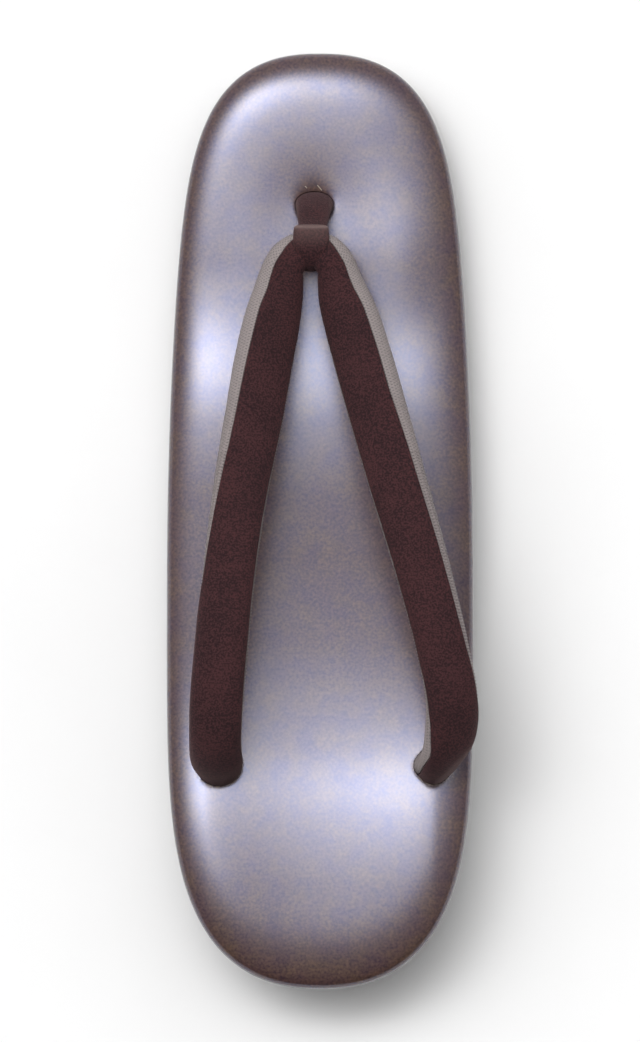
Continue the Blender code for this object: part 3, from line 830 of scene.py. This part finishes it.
# %% Strap tables, in millimetres and degrees
# The middle's x, y and z, the width, the thickness, the roll round the arm and the swing seen from above.
LEFT_STRAP = (
    (-3.0, 73.5, 45.2, 4.6, 5.0, 0, 0),
    (-4.5, 72.3, 45.6, 6.4, 5.8, 0, 0),
    (-6.0, 71.0, 46.0, 8.6, 6.4, 0, 0),
    (-7.6, 69.1, 46.3, 10.2, 7.0, 2, 0),
    (-9.5, 66.4, 46.4, 10.6, 7.5, 6, 0),
    (-10.3, 63.3, 46.7, 11.8, 7.9, 12, 0),
    (-11.2, 58.5, 47.6, 13.4, 8.1, 20, 0),
    (-12.3, 53.5, 49.2, 14.9, 8.2, 24, 0),
    (-14.5, 43.0, 52.8, 15.8, 8.2, 24, 0),
    (-17.3, 27.0, 58.2, 15.6, 8.2, 20, 0),
    (-20.6, 8.5, 64.2, 14.6, 8.2, 8, 0),
    (-23.7, -14.6, 70.0, 14.0, 8.2, -6, 0),
    (-25.5, -33.0, 72.6, 14.0, 8.2, -12, 0),
    (-26.7, -47.5, 71.6, 14.0, 8.4, -14, 0),
    (-27.1, -56.8, 67.0, 13.6, 8.6, -10, 0),
    (-26.9, -62.0, 58.5, 13.4, 8.6, 0, 0),
)
RIGHT_STRAP = (
    (-2.0, 73.5, 45.2, 4.6, 5.0, 0, 0),
    (-0.5, 72.3, 45.6, 6.4, 5.8, 0, 0),
    (1.0, 71.0, 46.0, 8.6, 6.4, 0, 0),
    (2.5, 69.1, 46.3, 10.0, 7.0, 2, 0),
    (4.3, 66.4, 46.4, 10.2, 7.5, 6, 0),
    (5.1, 63.3, 46.7, 11.3, 7.9, 12, 0),
    (6.3, 58.5, 47.6, 13.4, 8.1, 20, 0),
    (7.9, 53.5, 49.2, 14.9, 8.2, 24, 0),
    (11.0, 43.0, 52.8, 15.8, 8.2, 24, 0),
    (15.5, 27.0, 58.2, 15.8, 8.2, 20, 0),
    (20.7, 8.5, 64.2, 15.4, 8.2, 12, 0),
    (27.2, -14.6, 70.0, 14.6, 8.2, -4, 0),
    (31.8, -33.0, 72.6, 14.0, 8.2, -12, 0),
    (34.2, -47.5, 71.6, 14.0, 8.4, -20, 4),
    (33.5, -56.2, 67.2, 13.8, 8.6, -18, 14),
    (31.0, -61.6, 58.5, 12.4, 8.8, -6, 34),
)
# The place y, and the angles of the outer and the inner seam there.
FRONT_SEAMS = (
    (71.5, 69, 168), (66.4, 66, 166), (63.3, 61, 164), (58.5, 55, 156), (53, 48, 150), (43, 47, 148),
)
LEFT_SEAMS = FRONT_SEAMS + (
    (32, 44, 149), (17, 44, 152), (1, 37, 155), (-15, 29, 163), (-26, 14, 167), (-46, 8, 170),
    (-57, 6, 171), (-62, 2, 172), (-66, 0, 172),
)
RIGHT_SEAMS = FRONT_SEAMS + (
    (32, 49, 149), (17, 45, 152), (1, 46, 155), (-15, 48, 165), (-26, 48, 172), (-36, 42, 174),
    (-46, 36, 171), (-49, 27, 169), (-51.6, 21, 162), (-56.7, 14, 158), (-58.1, 12, 160),
    (-59.5, 10, 171), (-60.9, 8, 178), (-63.2, 5, 182),
)
WELL_ROW_DROPS = (-1 * MM, 5 * MM, 12 * MM)  # below the mouth of the well
VELVET_PROUD, VELVET_INSIDE = 0.2 * MM, -0.5 * MM
LINING_SHOWN, LINING_HIDDEN = -0.05 * MM, -0.65 * MM
RIB_PITCH = 0.83 * MM
Arm = namedtuple("Arm", "name rows seams well outward pull")
LEFT_ARM = Arm("left", LEFT_STRAP, LEFT_SEAMS, LEFT_WELL, -1, 0.15 * MM)
RIGHT_ARM = Arm("right", RIGHT_STRAP, RIGHT_SEAMS, RIGHT_WELL, 1, 0)
for arm in (LEFT_ARM, RIGHT_ARM):
    print(arm.name, "arm:", len(arm.rows), "rows and", len(arm.seams), "seam places")

# %% A smooth curve through a table


def through(rows, count, closes=False):
    """count rows read from a smooth curve through the given rows, whose first three numbers are a place."""
    knots = np.array(rows, float)
    if closes:
        knots = np.vstack([knots[-2:], knots, knots[:3]])
    walked = np.concatenate([[0], np.cumsum(np.linalg.norm(np.diff(knots[:, :3], axis=0), axis=1))])
    tangents = np.gradient(knots, walked, axis=0)
    if closes:
        stops = np.linspace(walked[2], walked[-3], count, endpoint=False)
    else:
        stops = np.linspace(0, walked[-1], count)
    at = np.clip(np.searchsorted(walked, stops, side="right") - 1, 0, len(knots) - 2)
    span = (walked[at + 1] - walked[at])[:, None]
    t = (stops - walked[at])[:, None] / span
    start = (1 + 2 * t) * (1 - t) ** 2 * knots[at] + t * (1 - t) ** 2 * span * tangents[at]
    return start + t**2 * (3 - 2 * t) * knots[at + 1] + t**2 * (t - 1) * span * tangents[at + 1]


def arm_sections(arm):
    """The arm's table with the rows that take it down into its well, pulled a little to one side."""
    mouth = float(tread_height(arm.well.y)) / MM
    fit = 2 * (arm.well.half_width - GAP - arm.pull) / MM, 2 * (arm.well.half_length - GAP) / MM
    x, y = (arm.well.x + arm.pull) / MM, arm.well.y / MM
    return list(arm.rows) + [(x, y, mouth - drop / MM, *fit, 0, arm.well.swing) for drop in WELL_ROW_DROPS]


def arm_length(arm):
    path = through(arm_sections(arm), 400)[:, :3] * MM
    return float(np.linalg.norm(np.diff(path, axis=0), axis=1).sum())


print("arms:", in_mm(arm_length(LEFT_ARM)), "and", in_mm(arm_length(RIGHT_ARM)), "mm long")

# %% Sections along an arm
Station = namedtuple("Station", "centre wide crown width thickness power outer inner")
ROUND_FROM_Y, ROUND_TO_Y = -46 * MM, -62 * MM


def stations(arm, count):
    """count places along the arm, each with its section's directions, size and seam angles."""
    path = through(arm_sections(arm), count)
    centres = path[:, :3] * MM
    tangents = np.gradient(centres, axis=0)
    tangents[-1] = (0, 0, -1)
    seam_y, outer, inner = np.array(arm.seams, float)[::-1].T
    rounder = arm.well.power - SECTION_POWER
    made = []
    for centre, along, (width, thickness, roll, swing) in zip(centres, tangents, path[:, 3:]):
        along = Vector(along).normalized()
        sideways = Vector((arm.outward * math.cos(math.radians(swing)), math.sin(math.radians(swing)), 0))
        sideways = (sideways - along * sideways.dot(along)).normalized()
        face = sideways.cross(along) * -arm.outward
        turn = math.radians(roll)
        made.append(Station(
            np.array(centre),
            np.array(sideways * math.cos(turn) + face * math.sin(turn)),
            np.array(face * math.cos(turn) - sideways * math.sin(turn)),
            width * MM, thickness * MM,
            SECTION_POWER + rounder * smoothstep(centre[1], ROUND_FROM_Y, ROUND_TO_Y),
            *(math.radians(np.interp(centre[1] / MM, seam_y, seam)) for seam in (outer, inner)),
        ))
    return made


def section_points(station, angles, offsets):
    """Points round a section at these angles, each that far outside the strap's own surface."""
    across, up = oval(station.width, station.thickness, CROWN_SHARE, angles, station.power)
    grown = station.width + 2 * MM, station.thickness + 2 * MM
    grown_across, grown_up = oval(*grown, CROWN_SHARE, angles, station.power)
    share = offsets / MM
    across, up = across + (grown_across - across) * share, up + (grown_up - up) * share
    return station.centre + np.outer(across, station.wide) + np.outer(up, station.crown)


few = stations(LEFT_ARM, 6)
print("widths along the left arm:", [in_mm(station.width) for station in few], "mm")

# %% Model the velvet
VELVET_ROWS, OVER_CORNERS, BACK_CORNERS = 150, 56, 26
VELVET_EDGE = math.radians(3.2)  # the turned edge of the velvet, as an angle of the section
EDGE_TURNS = np.radians((20, 55, 90, 125, 160))


def velvet_ring(station):
    """A crescent section: over the crown from seam to seam, round the turned edge, and back inside."""
    start, end = station.outer + VELVET_EDGE, station.inner - VELVET_EDGE
    middle, half = (VELVET_PROUD + VELVET_INSIDE) / 2, (VELVET_PROUD - VELVET_INSIDE) / 2
    turned = middle + half * np.cos(EDGE_TURNS)
    angles = (
        np.linspace(start, end, OVER_CORNERS), end + VELVET_EDGE * np.sin(EDGE_TURNS),
        np.linspace(end, start, BACK_CORNERS), start - VELVET_EDGE * np.sin(EDGE_TURNS),
    )
    over, back = np.full(OVER_CORNERS, VELVET_PROUD), np.full(BACK_CORNERS, VELVET_INSIDE)
    return section_points(station, np.concatenate(angles), np.concatenate([over, turned, back, turned[::-1]]))


def velvet_arm(arm):
    return loft(f"{arm.name}_velvet", [velvet_ring(station) for station in stations(arm, VELVET_ROWS)])


print("velvet section:", len(velvet_ring(few[0])), "corners")

# %% Model the lining's ribs
LINING_EDGE = math.radians(2.0)
SHOWN_CORNERS, HIDDEN_CORNERS = 46, 16
FULLER_AT_HOLE, FULLER_HEIGHT = 0.17 * MM, 6 * MM
RIB_CUTS = 3  # new rings between one rib's crest and the next
RIB_PHASES = ((0.5, 1.0), (0.25, 0.35), (0.75, 0.35))  # where a ring lies between crests, its share
RIB_DEPTHS = ((200, 32, 0.05 * MM), (32, 18, 0.14 * MM), (18, -200, 0.24 * MM))  # from y, to y in mm, depth


def lining_ring(station):
    """A full section: at the strap's surface where it shows, and lower where the velvet covers it."""
    shown = np.linspace(station.inner + LINING_EDGE, station.outer - LINING_EDGE + 2 * math.pi, SHOWN_CORNERS)
    hidden = np.linspace(station.outer, station.inner, HIDDEN_CORNERS) + 2 * math.pi
    above = station.centre[2] - tread_height(station.centre[1])
    full = FULLER_AT_HOLE * smoothstep(above, 2 * FULLER_HEIGHT, FULLER_HEIGHT)
    offsets = np.full(SHOWN_CORNERS, LINING_SHOWN + full), np.full(HIDDEN_CORNERS, LINING_HIDDEN)
    return section_points(station, np.concatenate([shown, hidden]), np.concatenate(offsets))


def ribbed(name, places):
    """One ring for each rib's crest, cut finer lengthwise, then the rings between drawn in."""
    piece = loft(name, [lining_ring(station) for station in places])
    edit(piece)
    select_where(piece, "edges", lambda edge, rows: edge.verts[0][rows] != edge.verts[1][rows])
    bpy.ops.mesh.subdivide(number_cuts=RIB_CUTS)
    for phase, share in RIB_PHASES:
        for from_y, to_y, depth in RIB_DEPTHS:
            select_where(piece, "verts", lambda corner, rows: (
                to_y * MM < corner.co.y <= from_y * MM and abs(corner[rows] % 1 - phase) < 0.01))
            bpy.ops.transform.shrink_fatten(value=-depth * share)
    leave_edit()
    return piece


print("lining section:", len(lining_ring(few[0])), "corners")

# %% Count its stitches, and trim both arms at the joint
STITCH_COLUMNS = 28
JOINT_X, JOINT_GAP = -2.4 * MM, 0.04 * MM


def stitch_columns(piece, places):
    """Each corner's column: its turn round its own section, from the crown."""
    nearest = np.clip(np.round(rows_of(piece)).astype(int), 0, len(places) - 1)
    centres, wides, crowns = (np.array([getattr(place, part) for place in places])[nearest]
                              for part in ("centre", "wide", "crown"))
    off = points_of(piece) - centres
    turn = np.arctan2((off * wides).sum(axis=1), (off * crowns).sum(axis=1))
    return turn % (2 * math.pi) / (2 * math.pi) * STITCH_COLUMNS


def lining_arm(arm):
    places = stations(arm, int(arm_length(arm) / RIB_PITCH))
    piece = ribbed(f"{arm.name}_lining", places)
    remember(piece, "column", stitch_columns(piece, places))
    print(piece.name, "has", len(places), "ribs")
    return piece


def trim(piece, arm):
    """Cuts off what reaches over the joint's middle plane."""
    cut_off(piece, (JOINT_X + arm.outward * JOINT_GAP / 2, 0, 0), (-arm.outward, 0, 0))
    return piece


left_lining, right_lining = (trim(lining_arm(arm), arm) for arm in (LEFT_ARM, RIGHT_ARM))

# %% [markdown]
# ## The toe thong
# The thong comes up out of the toe hole as a flat padded stem, folds over the joint of the two arms and
# goes round it as a band. The stem is a loft through a short table, and so is the band, which closes on
# itself. The joint is grooved where the band presses into it, so that nothing cuts through anything.

# %% Thong tables, in millimetres
# The middle's x, y and z, the width, and the stem's thickness.
THONG_STEM = (
    (-1.5, 82.9, 10.0, 9.6, 6.2),
    (-1.5, 82.9, 18.0, 9.8, 6.4),
    (-1.5, 82.7, 24.5, 9.9, 6.4),
    (-1.6, 81.4, 31.0, 9.2, 5.6),
    (-1.8, 79.4, 37.0, 8.2, 4.8),
    (-1.9, 77.4, 42.0, 7.6, 3.4),
    (-2.1, 76.0, 46.0, 7.6, 2.2),
)
THONG_BAND = (
    (-2.3, 75.7, 45.2, 8.9),
    (-2.3, 75.8, 48.3, 9.2),
    (-2.3, 73.2, 49.7, 9.4),
    (-2.4, 70.0, 49.4, 8.0),
    (-2.4, 67.2, 47.4, 4.6),
    (-2.4, 66.3, 44.4, 3.8),
    (-2.4, 68.4, 42.0, 5.0),
    (-2.4, 72.4, 41.4, 7.2),
    (-2.3, 75.2, 42.6, 8.4),
)
BAND_THICKNESS = 2.6 * MM
BAND_ROWS, STEM_ROWS = 90, 60
STEM_POWER, BAND_POWER = 2.1, 3.2


def flat_rings(centres, directions, widths, thicknesses, power=SECTION_POWER):
    """Sections whose width lies along X, square to a path in the thong's upright plane."""
    rings = []
    for centre, along, width, thickness in zip(centres, directions, widths, thicknesses):
        outwards = Vector(along).cross(Vector((1, 0, 0))).normalized()
        across, up = oval(width, thickness, power=power)
        rings.append([Vector(centre) + Vector((a, 0, 0)) + outwards * u for a, u in zip(across, up)])
    return rings


def band_of(name, grow):
    path = through(THONG_BAND, BAND_ROWS, closes=True) * MM
    directions = np.roll(path[:, :3], -1, axis=0) - np.roll(path[:, :3], 1, axis=0)
    thicknesses = [BAND_THICKNESS + 2 * grow] * BAND_ROWS
    rings = flat_rings(path[:, :3], directions, path[:, 3] + 2 * grow, thicknesses, BAND_POWER)
    return loft(name, rings, caps=False, closes=True)


def stem_of(name):
    path = through(THONG_STEM, STEM_ROWS) * MM
    directions = np.gradient(path[:, :3], axis=0)
    return loft(name, flat_rings(path[:, :3], directions, path[:, 3], path[:, 4], STEM_POWER))


print("thong:", len(THONG_STEM), "rows for the stem and", len(THONG_BAND), "for the band")

# %% Join the arms, groove the joint, and join the band to the stem
GROOVE_ROOM = 0.02 * MM
right_half, left_half = (trim(velvet_arm(arm), arm) for arm in (RIGHT_ARM, LEFT_ARM))
for half in (right_half, left_half):
    combine(half, band_of("groove_tool", GROOVE_ROOM))
pick(left_half, right_half)
bpy.ops.object.join()
upper = name_piece("strap_velvet")
thong = stem_of("toe_thong_velvet")
combine(thong, band_of("band", 0.0), "UNION")
print("joined", upper.name, "and", thong.name)

# %% [markdown]
# ## Worn pile and painted sheen
# Velvet wears where it is folded or rubbed: along the crest of the thong's fold, down the thong's sides,
# and where the arms go into their holes, the right one over a fold. The crest, the top of the band and the
# arms' ends also get painted sheen there: paler velvet where they turn towards the light. How pale each
# corner is can be worked out from where it lies. The piece remembers it as the attribute that the velvet
# reads.

# %% Wear the pile down and paint its sheen
# Crest and band top: parted pile, with painted sheen where they face the light.
CREST_Y, CREST_WIDTH, CREST_SHEEN_AND_WEAR = 76.8 * MM, 0.5 * MM, 0.6
TOP_FROM_Y, TOP_TO_Y, TOP_ABOVE, TOP_SHEEN_AND_WEAR = 69.5 * MM, 76.5 * MM, 47.5 * MM, 0.22
TOP_X, TOP_HALF_WIDTH = -2.3 * MM, 6 * MM
THONG_X, SIDE_FROM_Y = -1.6 * MM, 78.2 * MM
SIDE_WEAR, SIDE_FROM, SIDE_TO = 0.22, 3.6 * MM, 4.6 * MM  # the thong's two side seams
REAR_FROM_Y, REAR_TO_Y = -54 * MM, -59 * MM
# The arms' ends: dusty pile, with painted sheen where they turn down towards the light.
END_SHEEN_AND_DUST, END_FROM, END_TO = 0.26, 18 * MM, 4 * MM  # how high above the tread the ends' dusty pile reaches
RIGHT_END_SHARE = 0.4
FOLD_WEAR, FOLD_FROM, FOLD_TO = 0.3, 3.7 * MM, 4.7 * MM  # how far out from the right hole the fold lies


def worn_and_lit(x, y, z):
    top = smoothstep(y, TOP_FROM_Y, TOP_TO_Y) * (y < CREST_Y) * np.exp(-(((x - TOP_X) / TOP_HALF_WIDTH) ** 4))
    front = TOP_SHEEN_AND_WEAR * top + CREST_SHEEN_AND_WEAR * np.exp(-(((y - CREST_Y) / CREST_WIDTH) ** 2))
    sides = SIDE_WEAR * (y > SIDE_FROM_Y) * smoothstep(np.abs(x - THONG_X), SIDE_FROM, SIDE_TO)
    ends = END_SHEEN_AND_DUST * np.where(x < 0, 1, RIGHT_END_SHARE) * smoothstep(z - tread_height(y), END_FROM, END_TO)
    out = ((x - RIGHT_WELL.x) - (y - RIGHT_WELL.y)) / math.sqrt(2)
    rear = smoothstep(y, REAR_FROM_Y, REAR_TO_Y) * (ends + FOLD_WEAR * smoothstep(out, FOLD_FROM, FOLD_TO))
    return front * (z > TOP_ABOVE) + sides + rear


for piece in (upper, thong):
    remember(piece, "wear", worn_and_lit(*points_of(piece).T))
finish(upper, velvet, "strap_pair")
finish(thong, velvet, "toe_thong")
for piece in (left_lining, right_lining):
    finish(piece, lining, "strap_pair")

# %% [markdown]
# ## Two loose thread ends
# Where the thong goes into the tread, two ends of its sewing thread stick out and lie on the leather. Each
# is a short thin tube that arches a little, on the height the leather has there.

# %% Lay the thread ends on the leather
THREAD_RADIUS, THREAD_ARCH, THREAD_ROWS = 0.1 * MM, 0.25 * MM, 7
THREADS = (((-0.7, 87.9), (0.5, 86.5)), ((-3.9, 87.6), (-3.4, 87.1)))  # both ends, in millimetres
UP = Vector((0, 0, 1))
thread = Finish("pale_thread", (0.45, 0.38, 0.30), 0.7).owner

for number, (start, end) in enumerate(THREADS, 1):
    shares = np.linspace(0, 1, THREAD_ROWS)[:, None]
    flat = (np.array(start) * (1 - shares) + np.array(end) * shares) * MM
    arch = THREAD_ARCH * np.sin(math.pi * shares[:, 0]) + THREAD_RADIUS
    heights = crown(*flat.T) - drawn_down(*flat.T) + arch
    across = Vector((*(flat[-1] - flat[0]), 0)).normalized().cross(UP)
    circle = [THREAD_RADIUS * (across * math.cos(turn) + UP * math.sin(turn))
              for turn in ALL_ROUND[::8]]
    rings = [[Vector((*place, height)) + corner for corner in circle] for place, height in zip(flat, heights)]
    finish(loft(f"thread_end_{number}", rings), thread, "toe_thong")

# %% [markdown]
# ## Floor, light and camera
# The sandal lies on a plain pale floor and is seen from straight above. Satin leather shows its shape
# only by what it reflects, so the light matters more than the camera: one broad soft box almost overhead,
# a little towards the toe and the left, and one small lamp behind it, over a faint even glow. The soft box
# is written into the world as a bright patch of sky that fades towards its edges, which gives a reflection
# with no hard border. The small lamp is a sun with a wide disc.

# %% Floor
FLOOR_HALF, CLOUD_SIZE = 25.0, 60 * MM
PAPER, PAPER_DIM, PAPER_BRIGHT = ((tone, tone, tone) for tone in (0.92, 0.91, 0.93))
pick()
bpy.ops.mesh.primitive_plane_add(size=2 * FLOOR_HALF, location=(0, 0, 0))
floor = name_piece("floor")
paper = Finish("pale_paper", PAPER, 0.9)
paper.give("Base Color", paper.ramp(paper.noise(CLOUD_SIZE), 0.3, 0.7, PAPER_DIM, PAPER_BRIGHT))
floor.data.materials.append(paper.owner)
print("floor:", 2 * FLOOR_HALF, "m across")

# %% Soft box and glow in the world
BOX_TILT_LEFT, BOX_TILT_TOE = math.radians(9.2), math.radians(12.7)
BOX_SPREAD_X, BOX_SPREAD_Y = 0.268, 0.133  # how fast the soft box fades, in radians
BOX_STRENGTH, GLOW_STRENGTH, GLOW_LEAN = 26.8, 0.22, 0.36
middle = Vector((-math.tan(BOX_TILT_LEFT), math.tan(BOX_TILT_TOE), 1)).normalized()
wide = (Vector((1, 0, 0)) - middle * middle.x).normalized()
tall = middle.cross(wide)
sky = Recipe(bpy.data.worlds.new("studio"))
direction = sky.node("TexCoord", {}, "Generated")


def towards(axis):
    """How far a direction of the sky leans towards an axis."""
    return sky.node("VectorMath", {0: direction, 1: axis}, "Value", operation="DOT_PRODUCT")


# The patch is strength / (1 + t^2)^2, where t grows with the angle from its middle.
across = sky.math("DIVIDE", towards(wide), BOX_SPREAD_X)
along = sky.math("DIVIDE", towards(tall), BOX_SPREAD_Y)
squares = sky.math("ADD", sky.math("MULTIPLY", across, across), sky.math("MULTIPLY", along, along))
fade = sky.math("POWER", sky.math("ADD", squares, 1.0), 2.0)
above = sky.math("GREATER_THAN", towards(middle), 0.0)
patch = sky.math("MULTIPLY", sky.math("DIVIDE", BOX_STRENGTH, fade), above)
glow = sky.math("ADD", sky.math("MULTIPLY", towards((0, 1, 0)), GLOW_LEAN), GLOW_STRENGTH)
background = sky.nodes["Background"]
sky.join(sky.math("ADD", patch, glow), background.inputs["Strength"])
sky.join((1, 1, 1, 1), background.inputs["Color"])
bpy.context.scene.world = sky.owner
print("soft box: strength", BOX_STRENGTH)

# %% Small lamp
LAMP_TILT_LEFT, LAMP_TILT_TOE = math.radians(1.3), math.radians(0.9)
LAMP_STRENGTH, LAMP_DISC = 0.06, math.radians(6.5)
pick()
bpy.ops.object.light_add(type="SUN", location=(0, 0, 2))
lamp = bpy.context.object
lamp.name = "small_lamp"
lamp.data.energy, lamp.data.angle = LAMP_STRENGTH, LAMP_DISC
towards_lamp = Vector((-math.tan(LAMP_TILT_LEFT), math.tan(LAMP_TILT_TOE), 1))
lamp.rotation_euler = towards_lamp.to_track_quat("Z", "Y").to_euler()
print(lamp.name, "is", round(math.degrees(LAMP_DISC), 1), "degrees wide")

# %% Camera, straight above on a long lens
CAMERA_Y, CAMERA_HEIGHT = -0.17 * MM, 6.0
VIEW_HEIGHT, SHARP_HEIGHT = 272.9 * MM, 30 * MM  # the length that fills the frame, at this height
pick()
bpy.ops.object.camera_add(location=(0, CAMERA_Y, CAMERA_HEIGHT), rotation=(0, 0, 0))
camera = bpy.context.object
camera.name = "overhead_camera"
camera.data.sensor_width = 36.0
camera.data.lens = camera.data.sensor_width * (CAMERA_HEIGHT - SHARP_HEIGHT) / VIEW_HEIGHT
camera.data.clip_start, camera.data.clip_end = 0.1, 100.0
bpy.context.scene.camera = camera
bpy.context.scene.view_settings.view_transform = "Standard"
print("lens:", round(camera.data.lens), "mm")
